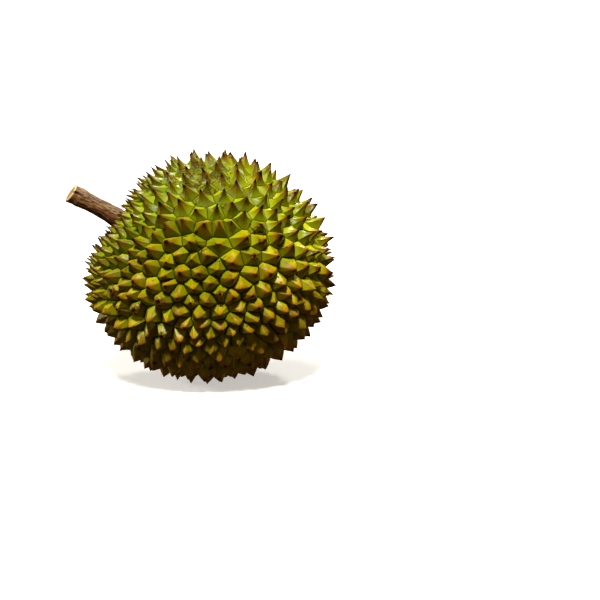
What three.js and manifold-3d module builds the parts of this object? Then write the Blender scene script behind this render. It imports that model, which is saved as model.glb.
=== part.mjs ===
// A whole durian as picked, lying on its side: a round green husk covered in
// thorny pyramids that meet along narrow valleys, and its cut woody stalk.
//
// Millimetres, +Z up. The husk's long axis is X. The stalk leaves it towards -X and up.
// The thorns underneath are worn flat where they stand on the surface at Z = 0.

import * as THREE from "three";
import { ConvexHull } from "three/addons/math/ConvexHull.js";
import { mergeVertices } from "three/addons/utils/BufferGeometryUtils.js";
import Module from "manifold-3d";

const wasm = await Module();
wasm.setup();

// Husk, measured between the roots of its thorns.
const HALF_SIZE = new THREE.Vector3(104.1, 92.5, 93.5); // along X, Y and Z
const STEM_RISE = THREE.MathUtils.degToRad(32.5); // the stalk above the horizontal
const SHOULDER_DEPTH = 19; // how far the stem end is sunk in
const SHOULDER_REACH = 0.46; // radians from the stalk
const LOBES = 5; // one for each chamber of seeds
const LOBE_SWELL = 0.012; // share of the radius

// Where the thorns stand.
const THORN_SPACING = 11.7; // closest that two of average size stand
const SPACING_SPREAD = 0.275; // share by which a thorn's own room varies either way
const SUNNY_SPACING = 0.26; // share by which thorns on the sunny side stand further apart
const STEM_CROWDING = 0.48; // share by which they close up round the stalk
const CROWDING_REACH = 0.6; // radians from the stalk
const DARTS = 60000;
const RELAX_ROUNDS = 2;
const RELAX_STEP = 0.5; // share of the way to the middle of its cell
const SHORTEST_EDGE = 2.6; // corners of the valleys that are closer are joined
const SEED = 20240;

// What a thorn is like.
const THORN_HEIGHT = 6.6; // of a thorn with no width
const HEIGHT_PER_RADIUS = 0.64;
const HEIGHT_SPREAD = 0.18;
const SHADY_HEIGHT = 0.9; // share of the height that is left on the shady side
const STEM_HEIGHT = 0.3; // share by which thorns beside the stalk are taller for their width
const FULL_FLARE = 0.5; // 1 is a straight-sided pyramid, and below 1 its sides bulge
const HOLLOW_FLARE = 2.0; // above 1 they are hollow
const LEAST_HOLLOWNESS = 0.2; // from 0, full, to 1, hollow
const USUAL_HOLLOWNESS = 0.85;
const FULL_FROM = -0.1; // cosine to the full side at which thorns start to fill out
const FULL_TO = 0.55; // and at which they are as full as they get
const STEM_HOLLOWNESS = 0.35; // what thorns beside the stalk gain
const HOLLOWNESS_SPREAD = 0.32;
const SHOULDER_AT = 0.36; // share of the height where the flared foot turns into the point
const STEM_LEAN = 0.8; // slope of the thorns towards the stalk, right beside it
const LEAN_REACH = 0.95; // radians from the stalk
const LEAN_SPREAD = 0.22;
const WORN_DEPTH = 4.9; // how much of the lowest thorn is worn away

// Bare collar round the stalk's foot.
const COLLAR_CELLS = 7;
const COLLAR_RING = 8.2; // stalk's axis to the middle of the bare cells
const FIRST_THORNS = 17.5; // stalk's axis to the nearest thorn

// Stalk.
const STEM_LENGTH = 56.5; // above the husk
const STEM_ROOT = 6; // sunk in the husk
const STEM_FOOT_HEIGHT = 0.5; // above the husk, before it tapers
const STEM_FOOT_RADIUS = 10;
const STEM_WAIST_RADIUS = 7.9;
const STEM_END_RADIUS = 9.2;
const STEM_END_BEVEL = 1.1;
const STEM_SAG = 3.4; // at the cut end
const CUT_SLOPES = [-0.08, 0.2]; // the cut isn't quite square, upwards and sideways
const STEM_SIDES = 20;
const STEM_STEPS = 7;
const CLEARANCE = 0.3; // between the stalk and its socket

const WELD = 0.001; // corners closer than this are one

const UP = new THREE.Vector3(0, 0, 1);
const STEM = new THREE.Vector3(-Math.cos(STEM_RISE), 0, Math.sin(STEM_RISE));
const SUNNY_SIDE = new THREE.Vector3(0.45, 0.3, 0.84).normalize();
const FULL_SIDE = new THREE.Vector3(0, -0.75, -0.65).normalize();

// A plain linear congruential generator, exact in doubles.
let drawn = SEED;
function draw() {
  drawn = (drawn * 1664525 + 1013904223) % 4294967296;
  return drawn / 4294967296;
}

// A number from 1 - spread to 1 + spread.
function vary(spread) {
  return 1 + spread * (2 * draw() - 1);
}

// From 1 at the stalk to 0 well beyond the reach, which is in radians.
function nearStem(direction, reach) {
  return Math.exp(-((direction.angleTo(STEM) / reach) ** 2));
}

// From 0 on the shady half to 1 where the sun stood.
function sunniness(direction) {
  return Math.max(0, direction.dot(SUNNY_SIDE));
}

// The point of the husk, between thorns, that lies in a direction from its centre.
function huskPoint(direction) {
  const around = Math.atan2(direction.z, direction.y);
  const lobe = 1 + LOBE_SWELL * Math.cos(LOBES * around) * (1 - direction.x ** 2);
  return direction
    .clone()
    .multiply(HALF_SIZE)
    .multiplyScalar(lobe)
    .addScaledVector(STEM, -SHOULDER_DEPTH * nearStem(direction, SHOULDER_REACH));
}

function huskNormal(direction) {
  return direction.clone().divide(HALF_SIZE).normalize();
}

// Room that a thorn of average size keeps round itself.
function roomAt(direction) {
  const sun = 1 + SUNNY_SPACING * sunniness(direction);
  const crowding = 1 - STEM_CROWDING * nearStem(direction, CROWDING_REACH);
  return THORN_SPACING * sun * crowding;
}

// Two directions square to a third one, anticlockwise seen from outside.
function eastAndNorth(centre) {
  const east = new THREE.Vector3(0, 1, 0).cross(centre).normalize();
  const north = centre.clone().cross(east).normalize();
  return [east, north];
}

function collarSeeds() {
  const seeds = [{ direction: STEM.clone(), bare: true }];
  const [east, north] = eastAndNorth(STEM);
  for (let i = 0; i < COLLAR_CELLS; i++) {
    const around = (2 * Math.PI * i) / COLLAR_CELLS;
    const aside = COLLAR_RING / huskPoint(STEM).length();
    const direction = STEM.clone()
      .addScaledVector(east, aside * Math.cos(around))
      .addScaledVector(north, aside * Math.sin(around))
      .normalize();
    seeds.push({ direction, bare: true });
  }
  return seeds;
}

// Thorns stand at random, but never closer than their room allows.
function throwThorns(seeds) {
  const placed = [];
  for (let i = 0; i < DARTS; i++) {
    const z = 2 * draw() - 1;
    const around = 2 * Math.PI * draw();
    const size = vary(SPACING_SPREAD);
    const ring = Math.sqrt(1 - z * z);
    const direction = new THREE.Vector3(ring * Math.cos(around), ring * Math.sin(around), z);
    const point = huskPoint(direction);
    if (direction.dot(STEM) > 0 && point.clone().cross(STEM).length() < FIRST_THORNS) continue;
    const room = roomAt(direction) * size;
    if (placed.some((other) => point.distanceTo(other.point) < (room + other.room) / 2)) continue;
    placed.push({ point, room });
    seeds.push({ direction, bare: false });
  }
  return seeds;
}

// The cell of each seed: the ring of corners where it meets its neighbours, in order.
// Each face of the seeds' convex hull gives one corner.
function cellsOf(seeds) {
  const points = seeds.map((seed) => seed.direction.clone());
  const seedAt = new Map(points.map((point, i) => [point, i]));
  const { faces } = new ConvexHull().setFromPoints(points);
  const faceNumber = new Map(faces.map((face, f) => [face, f]));
  const corners = faces.map((face) => face.normal.clone().normalize());
  const rings = seeds.map(() => []);
  const valleys = [];
  faces.forEach((face, f) => {
    for (const edge of [face.edge, face.edge.next, face.edge.prev]) {
      rings[seedAt.get(edge.head().point)].push(f);
      valleys.push([f, faceNumber.get(edge.twin.face)]);
    }
  });
  seeds.forEach(({ direction }, i) => {
    const [east, north] = eastAndNorth(direction);
    const angle = (f) => Math.atan2(corners[f].dot(north), corners[f].dot(east));
    rings[i].sort((a, b) => angle(a) - angle(b));
  });
  return { corners, rings, valleys };
}

function meanOf(points) {
  return points.reduce((sum, point) => sum.add(point), new THREE.Vector3()).divideScalar(points.length);
}

// Moves each thorn towards the middle of its cell, which evens out the smallest ones.
function relax(seeds) {
  const { corners, rings } = cellsOf(seeds);
  seeds.forEach(({ direction, bare }, i) => {
    if (!bare) direction.lerp(meanOf(rings[i].map((f) => corners[f])), RELAX_STEP).normalize();
  });
}

// Joins corners that lie too close together, so that no valley is a sliver.
function joinCorners({ corners, rings, valleys }) {
  const owner = corners.map((_, f) => f);
  const find = (f) => (owner[f] === f ? f : find(owner[f]));
  const points = corners.map(huskPoint);
  for (const [a, b] of valleys)
    if (points[a].distanceTo(points[b]) < SHORTEST_EDGE) owner[find(a)] = find(b);
  const owners = [...new Set(corners.map((_, f) => find(f)))];
  const number = new Map(owners.map((f, n) => [f, n]));
  return {
    points: owners.map((o) => huskPoint(meanOf(corners.filter((_, f) => find(f) === o)).normalize())),
    rings: rings.map((ring) =>
      ring.map((f) => number.get(find(f))).filter((n, j, all) => n !== all[(j + 1) % all.length]),
    ),
  };
}

// A thorn's tip stands straight out of the husk, but leans to the stalk close to it.
function thornTip(direction, foot, radius) {
  const normal = huskNormal(direction);
  const toStem = STEM.clone().projectOnPlane(normal).normalize();
  const shade = THREE.MathUtils.lerp(SHADY_HEIGHT, 1, sunniness(direction));
  const taller = 1 + STEM_HEIGHT * nearStem(direction, CROWDING_REACH);
  const height = (THORN_HEIGHT + HEIGHT_PER_RADIUS * radius) * shade * taller * vary(HEIGHT_SPREAD);
  const stray = new THREE.Vector3(vary(1) - 1, vary(1) - 1, vary(1) - 1);
  return normal
    .addScaledVector(toStem, STEM_LEAN * nearStem(direction, LEAN_REACH))
    .addScaledVector(stray, LEAN_SPREAD)
    .normalize()
    .multiplyScalar(height)
    .add(foot);
}

// From 0 for a full, bulging thorn to 1 for a hollow-sided one.
function hollowness(direction) {
  const fullness = THREE.MathUtils.smoothstep(direction.dot(FULL_SIDE), FULL_FROM, FULL_TO);
  const usual = THREE.MathUtils.lerp(USUAL_HOLLOWNESS, LEAST_HOLLOWNESS, fullness);
  const besideStem = STEM_HOLLOWNESS * nearStem(direction, LEAN_REACH);
  return THREE.MathUtils.clamp(usual + besideStem + vary(HOLLOWNESS_SPREAD) - 1, 0, 1);
}

// The corners of a thorn between its foot, on the valleys, and its point.
function thornShoulder(direction, foot, corners, tip) {
  const flare = THREE.MathUtils.lerp(FULL_FLARE, HOLLOW_FLARE, hollowness(direction));
  const axisPoint = foot.clone().lerp(tip, SHOULDER_AT);
  const width = (1 - SHOULDER_AT) ** flare;
  return corners.map((corner) => axisPoint.clone().addScaledVector(corner.clone().sub(foot), width));
}

function geometryOf(positions, triangles) {
  const geometry = new THREE.BufferGeometry();
  geometry.setAttribute("position", new THREE.Float32BufferAttribute(positions, 3));
  geometry.setIndex(triangles);
  return geometry;
}

// The husk with a pyramid on each cell, as one closed surface.
function thornyGeometry() {
  const seeds = throwThorns(collarSeeds());
  for (let i = 0; i < RELAX_ROUNDS; i++) relax(seeds);
  const { points, rings } = joinCorners(cellsOf(seeds));
  const vertices = [...points];
  const triangles = [];
  const put = (point) => vertices.push(point) - 1;
  seeds.forEach(({ direction, bare }, i) => {
    const ring = rings[i];
    const corners = ring.map((n) => points[n]);
    const foot = huskPoint(direction);
    const radius = corners.reduce((sum, corner) => sum + corner.distanceTo(foot), 0) / corners.length;
    const tip = bare ? foot : thornTip(direction, foot, radius);
    const shoulder = bare ? ring : thornShoulder(direction, foot, corners, tip).map(put);
    const point = put(tip);
    ring.forEach((corner, j) => {
      const k = (j + 1) % ring.length;
      triangles.push(shoulder[j], shoulder[k], point);
      if (bare) return;
      triangles.push(corner, ring[k], shoulder[k]);
      triangles.push(corner, shoulder[k], shoulder[j]);
    });
  });
  return geometryOf(vertices.flatMap((point) => point.toArray()), triangles);
}

function solidOf(geometry) {
  const bare = geometry.clone();
  bare.deleteAttribute("normal");
  bare.deleteAttribute("uv");
  const { index, attributes } = mergeVertices(bare, WELD);
  return new wasm.Manifold(
    new wasm.Mesh({
      numProp: 3,
      vertProperties: attributes.position.array,
      triVerts: new Uint32Array(index.array),
    }),
  );
}

// The stalk's outline, from the middle of its root to the middle of its cut end.
function stemOutline() {
  const bottom = CLEARANCE - STEM_ROOT;
  const outline = [
    [0, bottom],
    [STEM_FOOT_RADIUS, bottom],
    [STEM_FOOT_RADIUS, STEM_FOOT_HEIGHT],
  ];
  for (let i = 1; i < STEM_STEPS; i++) {
    const along = i / STEM_STEPS;
    const foot = (STEM_FOOT_RADIUS - STEM_WAIST_RADIUS) * (1 - along) ** 3;
    const end = (STEM_END_RADIUS - STEM_WAIST_RADIUS) * along ** 4;
    outline.push([STEM_WAIST_RADIUS + foot + end, along * STEM_LENGTH]);
  }
  outline.push([STEM_END_RADIUS, STEM_LENGTH - STEM_END_BEVEL]);
  outline.push([STEM_END_RADIUS - STEM_END_BEVEL, STEM_LENGTH]);
  outline.push([0, STEM_LENGTH]);
  return outline.map(([radius, height]) => new THREE.Vector2(radius, height));
}

// The stalk along +Z, with Z = 0 where it leaves the husk and +X uppermost. It sags a little.
function stemGeometry() {
  const geometry = new THREE.LatheGeometry(stemOutline(), STEM_SIDES).rotateX(Math.PI / 2);
  const position = geometry.getAttribute("position");
  const [slopeX, slopeY] = CUT_SLOPES;
  for (let i = 0; i < position.count; i++) {
    const x = position.getX(i);
    const z = position.getZ(i);
    const along = Math.max(0, z / STEM_LENGTH);
    position.setX(i, x - STEM_SAG * along ** 2);
    position.setZ(i, z + (slopeX * x + slopeY * position.getY(i)) * along ** 3);
  }
  return geometry;
}

// Along +Z like the stalk, and clear of it all round.
function socketGeometry() {
  const height = STEM_ROOT + STEM_LENGTH;
  const radius = STEM_FOOT_RADIUS + CLEARANCE;
  return new THREE.CylinderGeometry(radius, radius, height, STEM_SIDES)
    .rotateX(Math.PI / 2)
    .translate(0, 0, height / 2 - STEM_ROOT);
}

const stemMaterial = new THREE.MeshStandardMaterial({ color: 0x876538, roughness: 0.85, metalness: 0 });
const stem = new THREE.Mesh(stemGeometry(), stemMaterial);
stem.name = "stem";
stem.position.copy(huskPoint(STEM));
stem.quaternion.setFromUnitVectors(UP, STEM);
stem.updateMatrix();

const thorny = thornyGeometry();
thorny.computeBoundingBox();
const centreHeight = -thorny.boundingBox.min.z - WORN_DEPTH;

// The husk with the stalk's socket, cut level with the surface that the fruit lies on.
function huskGeometry() {
  const side = 4 * HALF_SIZE.x;
  const below = new THREE.BoxGeometry(side, side, side).translate(0, 0, -centreHeight - side / 2);
  const socket = socketGeometry().applyMatrix4(stem.matrix);
  const mesh = solidOf(thorny).subtract(solidOf(socket)).subtract(solidOf(below)).getMesh();
  return geometryOf(Array.from(mesh.vertProperties), Array.from(mesh.triVerts));
}

const huskMaterial = new THREE.MeshStandardMaterial({ color: 0x7b7419, roughness: 0.55, metalness: 0 });
const husk = new THREE.Mesh(huskGeometry(), huskMaterial);
husk.name = "husk";

// The origin is on the surface, below the middle of the whole fruit's box.
const durian = new THREE.Group();
durian.add(husk, stem);
const middle = new THREE.Box3().setFromObject(durian, true).getCenter(new THREE.Vector3());
durian.position.set(-middle.x, -middle.y, centreHeight);

export default durian;
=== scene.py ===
"""The looks of a whole durian lying on its side: its thorny husk, its cut stalk and a plain stage.

Sizes are worked out in millimetres, as in the solids, and the meshes are made in metres.
"""

from functools import reduce
from math import atan2, cos, degrees, exp, hypot, pi, radians, remainder, sin

import bpy
import numpy as np
from mathutils import Matrix, Vector, noise
from mathutils.geometry import delaunay_2d_cdt


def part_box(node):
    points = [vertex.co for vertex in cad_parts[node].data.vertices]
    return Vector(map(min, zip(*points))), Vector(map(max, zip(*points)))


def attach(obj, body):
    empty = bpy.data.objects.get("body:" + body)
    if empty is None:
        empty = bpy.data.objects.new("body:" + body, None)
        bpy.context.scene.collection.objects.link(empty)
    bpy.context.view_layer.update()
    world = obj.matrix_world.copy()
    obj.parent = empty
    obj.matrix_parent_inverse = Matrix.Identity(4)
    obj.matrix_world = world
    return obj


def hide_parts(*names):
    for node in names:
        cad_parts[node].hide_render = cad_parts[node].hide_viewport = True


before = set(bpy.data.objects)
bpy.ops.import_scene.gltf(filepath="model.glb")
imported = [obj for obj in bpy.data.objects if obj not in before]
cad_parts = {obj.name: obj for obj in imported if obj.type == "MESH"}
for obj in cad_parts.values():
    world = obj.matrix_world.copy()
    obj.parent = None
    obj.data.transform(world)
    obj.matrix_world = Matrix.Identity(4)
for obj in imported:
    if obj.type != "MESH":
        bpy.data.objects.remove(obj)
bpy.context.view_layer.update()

bl_info = {
    "name": "Durian",
    "version": (1, 0, 0),
    "blender": (4, 5, 0),
    "location": "3D View > Sidebar > Durian",
    "description": "A whole durian: its thorny husk, its cut stalk and a plain stage",
    "category": "Add Mesh",
}

MM = 0.001

# What the solids' thorns were placed and shaped by, so none of it is a setting. Lengths are in
# millimetres and reaches in radians.
LOBES = 5
LOBE_SWELL = 0.012
SHOULDER_DEPTH = 19
SHOULDER_REACH = 0.46
SPACING_SPREAD = 0.275
SUNNY_SPACING = 0.26
STEM_CROWDING = 0.48
CROWDING_REACH = 0.6
DARTS = 60000
RELAX_ROUNDS = 2
RELAX_STEP = 0.5
SHORTEST_EDGE = 2.6
HEIGHT_SPREAD = 0.18
SHADY_HEIGHT = 0.9
STEM_HEIGHT = 0.3
STEM_LEAN = 0.8
LEAN_REACH = 0.95
LEAN_SPREAD = 0.22
LEAST_HOLLOWNESS = 0.2
USUAL_HOLLOWNESS = 0.85
FULL_FROM = -0.1
FULL_TO = 0.55
STEM_HOLLOWNESS = 0.35
HOLLOWNESS_SPREAD = 0.32
COLLAR_CELLS = 7
COLLAR_RING = 8.2
FIRST_THORNS = 17.5
SUNNY_SIDE = (0.45, 0.3, 0.84)
FULL_SIDE = (0.0, -0.75, -0.65)

# One thorn, from the valley at its foot to its point. Heights are shares of the thorn's,
# widths are shares of its foot's, and hollows are how far a face's middle is drawn in.
ROW_HEIGHTS = (0.0, 0.05, 0.16, 0.32, 0.5, 0.68, 0.84, 0.94)
FULL_WIDTHS = (1.0, 0.945, 0.89, 0.79, 0.64, 0.43, 0.2, 0.07)
HOLLOW_WIDTHS = (1.0, 0.82, 0.58, 0.375, 0.25, 0.16, 0.09, 0.04)
FULL_FACES = (0.0, -0.03, -0.05, -0.05, -0.03, 0.0, 0.03, 0.0)
HOLLOW_FACES = (0.0, 0.03, 0.1, 0.16, 0.2, 0.2, 0.12, 0.0)
# Places across a face from one ridge to the next. Those beside a ridge keep it narrow, so
# that it's crisp and still catches a line of light.
FINE = (0.0, 0.07, 0.5, 0.93)
MIDDLE = (0.0, 0.5)
RIDGES = (0.0,)
ROW_PLACES = (FINE, FINE, FINE, FINE, FINE, MIDDLE, MIDDLE, RIDGES)
FULL_BEND = 0.8
HOLLOW_BEND = 2.4
SHADY_GROOVE = 0.6
SUNNY_GROOVE = 0.2
WAVE_DEPTH = 0.4
WAVE_LENGTH = 6.0
# A few thorns have lost their point. Above the break, their middle turns down again.
BROKEN_SHARE = 0.06
BREAK_AT = 0.74
BREAK_DEPTH = 0.6
# Faces that look away from this side get painted shade: their colour is made darker and browner.
LIT_SIDE = (0.0, 0.6, 0.8)
PAINTED_SHADE_BIAS = 0.6
PAINTED_SHADE_SPREAD = 0.35
# One side gets painted light: its thorns' colour is made paler. Thorns near the stalk stay fresh
# and green.
PAINTED_LIGHT_SIDE = (0.85, -0.35, 0.4)
FRESH_REACH = 1.0
# A patch on top where rubbing left brown fibres between the thorns.
RUBBED_AT = (-0.05, -0.33, 0.94)
RUBBED_REACH = 0.28

# The bare collar goes in from the thorns to a lip round the socket, by shares of the way.
COLLAR_SHARES = (0.55, 0.85, 1.0)
LIP_WIDTH = 0.9
LIP_HEIGHT = 0.7
RIM_HEIGHT = 0.35
SOCKET_DEPTH = 6.0
SOCKET_GAP = 0.3
# What the material reads there: near the foot of a thorn, and away from ridges and valleys.
COLLAR_PLACE = (0.12, 3, 3)
HUSK_MARKS = ("height", "ridge", "valley", "tone", "full", "scar", "lee", "rubbed", "pale", "fresh")
COLLAR_MARKS = {"tone": 0.5, "full": 0.3, "scar": 0, "lee": 0.5, "rubbed": 0, "pale": 0, "fresh": 1}

# Patterns in the skin, in millimetres: how large they are, or how far apart and how wide. The
# skin's real grain is far finer, and is drawn coarser so that it shows.
GRAIN_SIZE = 1.1
BLOTCH_SIZE = 9.0
SCUFF_SIZE = 13.0
CRUST_SIZE = 2.0
STRAND_SIZE = 3.0
STRAND_STRETCH = (0.3, 1, 1)
PORES = (2.2, 0.2)
PRICKS = (7.0, 0.35)
BITES = (13.0, 0.85)
SKIN_RELIEF = 0.16

STALK_ROWS = 110
STALK_SIDES = 96
STALK_SAG = 3.4
CUT_SLOPES = (-0.08, 0.2)
CUT_BEVEL = 1.1
# The sawn end's rings of points, as shares of the way in. It is rough, and its pith has sunk.
CUT_SHARES = (0.04, 0.1, 0.18, 0.3, 0.42, 0.54, 0.66, 0.78, 0.9)
CUT_ROUGHNESS = 0.5
CUT_GRAIN = 1.3
CUT_EDGE = 6
PITH_DEPTH = 0.7
PITH_RADIUS = 1.4
PITH_BOTTOM = 1.0
# Bark: a knuckle near the end, lumps, and cracks along the stalk with frayed edges.
KNUCKLE_SWELL = 0.7
KNUCKLE_HEIGHT = 46.0
KNUCKLE_REACH = 3.5
LUMP_DEPTH = 0.5
LUMPS_ROUND = 1.6
LUMP_LENGTH = 9
CRACK_DEPTH = 0.45
CRACK_SPACING = 1.9
CRACK_STRETCH = 6.0
CRACK_WIDTH = 0.22
FRAY_SHARE = 0.35
FRAY_FINENESS = 2.7
FRAY_SHIFT = (9, 4, 1)
# A torn fold of bark that runs down from the cut, and a twig's scar. They are turned from the
# stalk's uppermost line, and negative turns are towards -Y.
FOLD_TURN = radians(-64)
FOLD_LENGTH = 15.0
FOLD_DEPTH = 1.6
FOLD_REACH = 0.9
FOLD_DRIFT = 0.9
FOLD_DRIFT_LENGTH = 3
FLAP_HEIGHT = 1.2
FLAP_WIDTH = 3.2
FLAP_STEEPNESS = 4
SCAR_TURN = radians(-150)
SCAR_HEIGHT = 40.0
SCAR_RADIUS = 1.3
SCAR_DEPTH = 0.7
SCAR_DARKNESS = 1.5
# Patterns in the bark and the wood, in millimetres. Fibres are far longer than they are wide.
BARK_BLOTCH_SIZE = 6.0
FIBRE_WIDTH = 0.7
FIBRE_STRETCH = (1, 1, 0.12)
BARK_GRAIN_SIZE = 0.5
BARK_RELIEF = 0.35
WOOD_BLOTCH_SIZE = 1.2
RING_TURNS = 7.0
# The heights between which bark gives way to the cut, and the radii for wood and its rim.
BARK_END = (55.2, 56.0)
WOOD_END = (6.0, 7.0)

# The render's side and the fruit's middle in it, in pixels, and what a pixel spans there, in
# millimetres.
RENDER_SIDE = 600
PIXEL = 0.9
MIDDLE_AT = (210, 264)
# The backdrop's lower and upper rings, as radius and height, inside the floor's edge.
FLOOR_HALF_SIDE = 20000
BACKDROP_RINGS = ((12000, -10), (15000, 9000))
BACKDROP_SIDES = 48
PAPER_MOTTLE = 900.0


def linear(hex_colour):
    """An sRGB hex colour such as "7b7419" as linear red, green, blue and alpha."""
    shares = [int(hex_colour[i:i + 2], 16) / 255 for i in (0, 2, 4)]
    return [s / 12.92 if s <= 0.04045 else ((s + 0.055) / 1.055) ** 2.4 for s in shares] + [1.0]


def millimetres(metres):
    """Metres of a setting as millimetres, rounded because settings are in single precision."""
    return np.round(np.array(metres, float) / MM, 4)


def a_colour(name, description, hex_colour):
    """A setting for a colour."""
    return bpy.props.FloatVectorProperty(
        name=name, description=description, subtype="COLOR", size=4, min=0, max=1,
        default=linear(hex_colour),
    )


LENGTH = {"unit": "LENGTH", "min": 0.001}
ANGLE = {"subtype": "ANGLE"}
AMOUNT = {"min": 0}
PLACE = {"unit": "LENGTH", "subtype": "XYZ"}
DIRECTION = {"subtype": "DIRECTION"}


def a_number(name, description, default, kind):
    """A setting for a number, or for three, of a kind that says its unit and limits."""
    several = isinstance(default, tuple)
    make = bpy.props.FloatVectorProperty if several else bpy.props.FloatProperty
    return make(name=name, description=description, default=default, **kind)


class DurianHuskSettings(bpy.types.PropertyGroup):
    """Sizes and colours of the husk."""

    half_size: a_number("Half size", "Between the thorns", (0.1041, 0.0925, 0.0935), PLACE)
    stem_rise: a_number("Stem rise", "Of the stalk above the horizontal", radians(32.5), ANGLE)
    thorn_spacing: a_number("Thorn spacing", "Closest that thorns stand", 0.0117, LENGTH)
    thorn_height: a_number("Thorn height", "Before what its width adds", 0.0066, LENGTH)
    height_per_radius: a_number("Height per radius", "Height added by its width", 0.64, AMOUNT)
    seed: bpy.props.IntProperty(
        name="Seed", description="Of the thorns' draws", min=0, default=20240
    )
    # Painted shade: the dark colour laid along the valleys between the thorns.
    valley: a_colour("Valleys", "Between the thorns", "352508")
    shady_foot: a_colour("Shady foot", "Lower part of shaded thorns", "7e8405")
    shady_side: a_colour("Shady side", "Middle of shaded thorns", "8b7f06")
    sunny_foot: a_colour("Sunny foot", "Lower part of thorns in the sun", "848d04")
    sunny_side: a_colour("Sunny side", "Middle of thorns in the sun", "7b7704")
    ochre: a_colour("Ochre", "Flush on the upper part of a thorn", "7f5b08")
    point: a_colour("Points", "Dry points of the thorns", "2c1606")
    # The ridges' colour is a painted highlight along the ridges, and the own colour of the corky
    # pores.
    ridge: a_colour("Ridges", "Rubbed ridges, and the corky pores", "aa9a24")
    scab: a_colour("Scabs", "Dry brown scuffs, scars and fibres", "4e2e13")


class DurianStalkSettings(bpy.types.PropertyGroup):
    """Sizes and colours of the stalk."""

    length: a_number("Length", "Above the husk", 0.0565, LENGTH)
    foot_radius: a_number("Foot radius", "Where it leaves the husk", 0.010, LENGTH)
    waist_radius: a_number("Waist radius", "Where it is thinnest", 0.0079, LENGTH)
    end_radius: a_number("End radius", "At the cut", 0.0092, LENGTH)
    bark: a_colour("Bark", "Dry bark", "815227")
    pale_bark: a_colour("Pale bark", "Where the bark is rubbed", "9c7644")
    red_bark: a_colour("Red bark", "Young bark near the foot", "6e3c16")
    # Painted sheen: this grey is laid where the bark faces up, and on some pale fibres.
    painted_sheen_and_grey_fibres: a_colour("Weathered bark", "Grey bark on top", "a8947a")
    under: a_colour("Underside", "Bark on the shaded side", "4c3412")
    crack: a_colour("Cracks", "Depth of the cracks in the bark", "321b08")
    wood: a_colour("Wood", "The cut end", "b5925f")
    rim: a_colour("Rim", "Pale bast round the cut", "dcc896")


class DurianStageSettings(bpy.types.PropertyGroup):
    """Floor, lights and camera."""

    floor: a_colour("Floor", "Matt floor", "f1f0ec")
    floor_shade: a_colour("Floor shade", "Faint drift of its tone", "ecebe6")
    floor_glow: a_number("Floor glow", "Light of its own", 0.5, AMOUNT)
    backdrop: a_colour("Backdrop", "White wall far off", "ffffff")
    backdrop_shade: a_colour("Backdrop shade", "Faint drift of its tone", "fafaf8")
    sky: a_colour("Fill colour", "Of the light all round", "ffdcaa")
    sky_strength: a_number("Fill light", "Even light all round", 0.16, AMOUNT)
    key_strength: a_number("Key light", "From the front and above", 3.75, AMOUNT)
    key_from: a_number("Key from", "Where the key light is", (-0.04, -0.62, 1.0), DIRECTION)
    rear_strength: a_number("Rear light", "From behind", 1.25, AMOUNT)
    rear_from: a_number("Rear from", "Where the rear light is", (0.2, 1.0, 0.8), DIRECTION)
    side_strength: a_number("Side light", "From the stalk's side", 1.1, AMOUNT)
    side_from: a_number("Side from", "Where the side light is", (-1.0, 0.15, 0.35), DIRECTION)
    softness: a_number("Softness", "How wide these three look", radians(10), ANGLE)
    lamp_power: a_number("Lamp", "Close above the fruit, in watts", 0.5, AMOUNT)
    lamp_size: a_number("Lamp size", "How wide the lamp is", 0.1, LENGTH)
    lamp_place: a_number("Lamp at", "Where the lamp hangs", (0.15, 0.0, 0.53), PLACE)
    camera_distance: a_number("Camera distance", "From the fruit's middle", 1.4, LENGTH)
    camera_pitch: a_number("Camera pitch", "How far it looks down", radians(12.5), ANGLE)


class Draws:
    """A plain linear congruential generator, the one that the solids were drawn by."""

    def __init__(self, seed):
        self.state = seed

    def draw(self):
        self.state = (self.state * 1664525 + 1013904223) % 4294967296
        return self.state / 4294967296

    def vary(self, spread):
        """A number from 1 - spread to 1 + spread."""
        return 1 + spread * (2 * self.draw() - 1)


def unit(vectors):
    return vectors / np.linalg.norm(vectors, axis=-1, keepdims=True)


def mix(a, b, share):
    return a + (b - a) * share


def east_and_north(centre):
    """Two directions square to a third one, anticlockwise seen from outside."""
    east = unit(np.cross((0.0, 1.0, 0.0), centre))
    return east, unit(np.cross(centre, east))


def round_pairs(ring):
    """Each item of a ring with the next one."""
    ring = list(ring)
    return zip(ring, ring[1:] + ring[:1])


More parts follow.
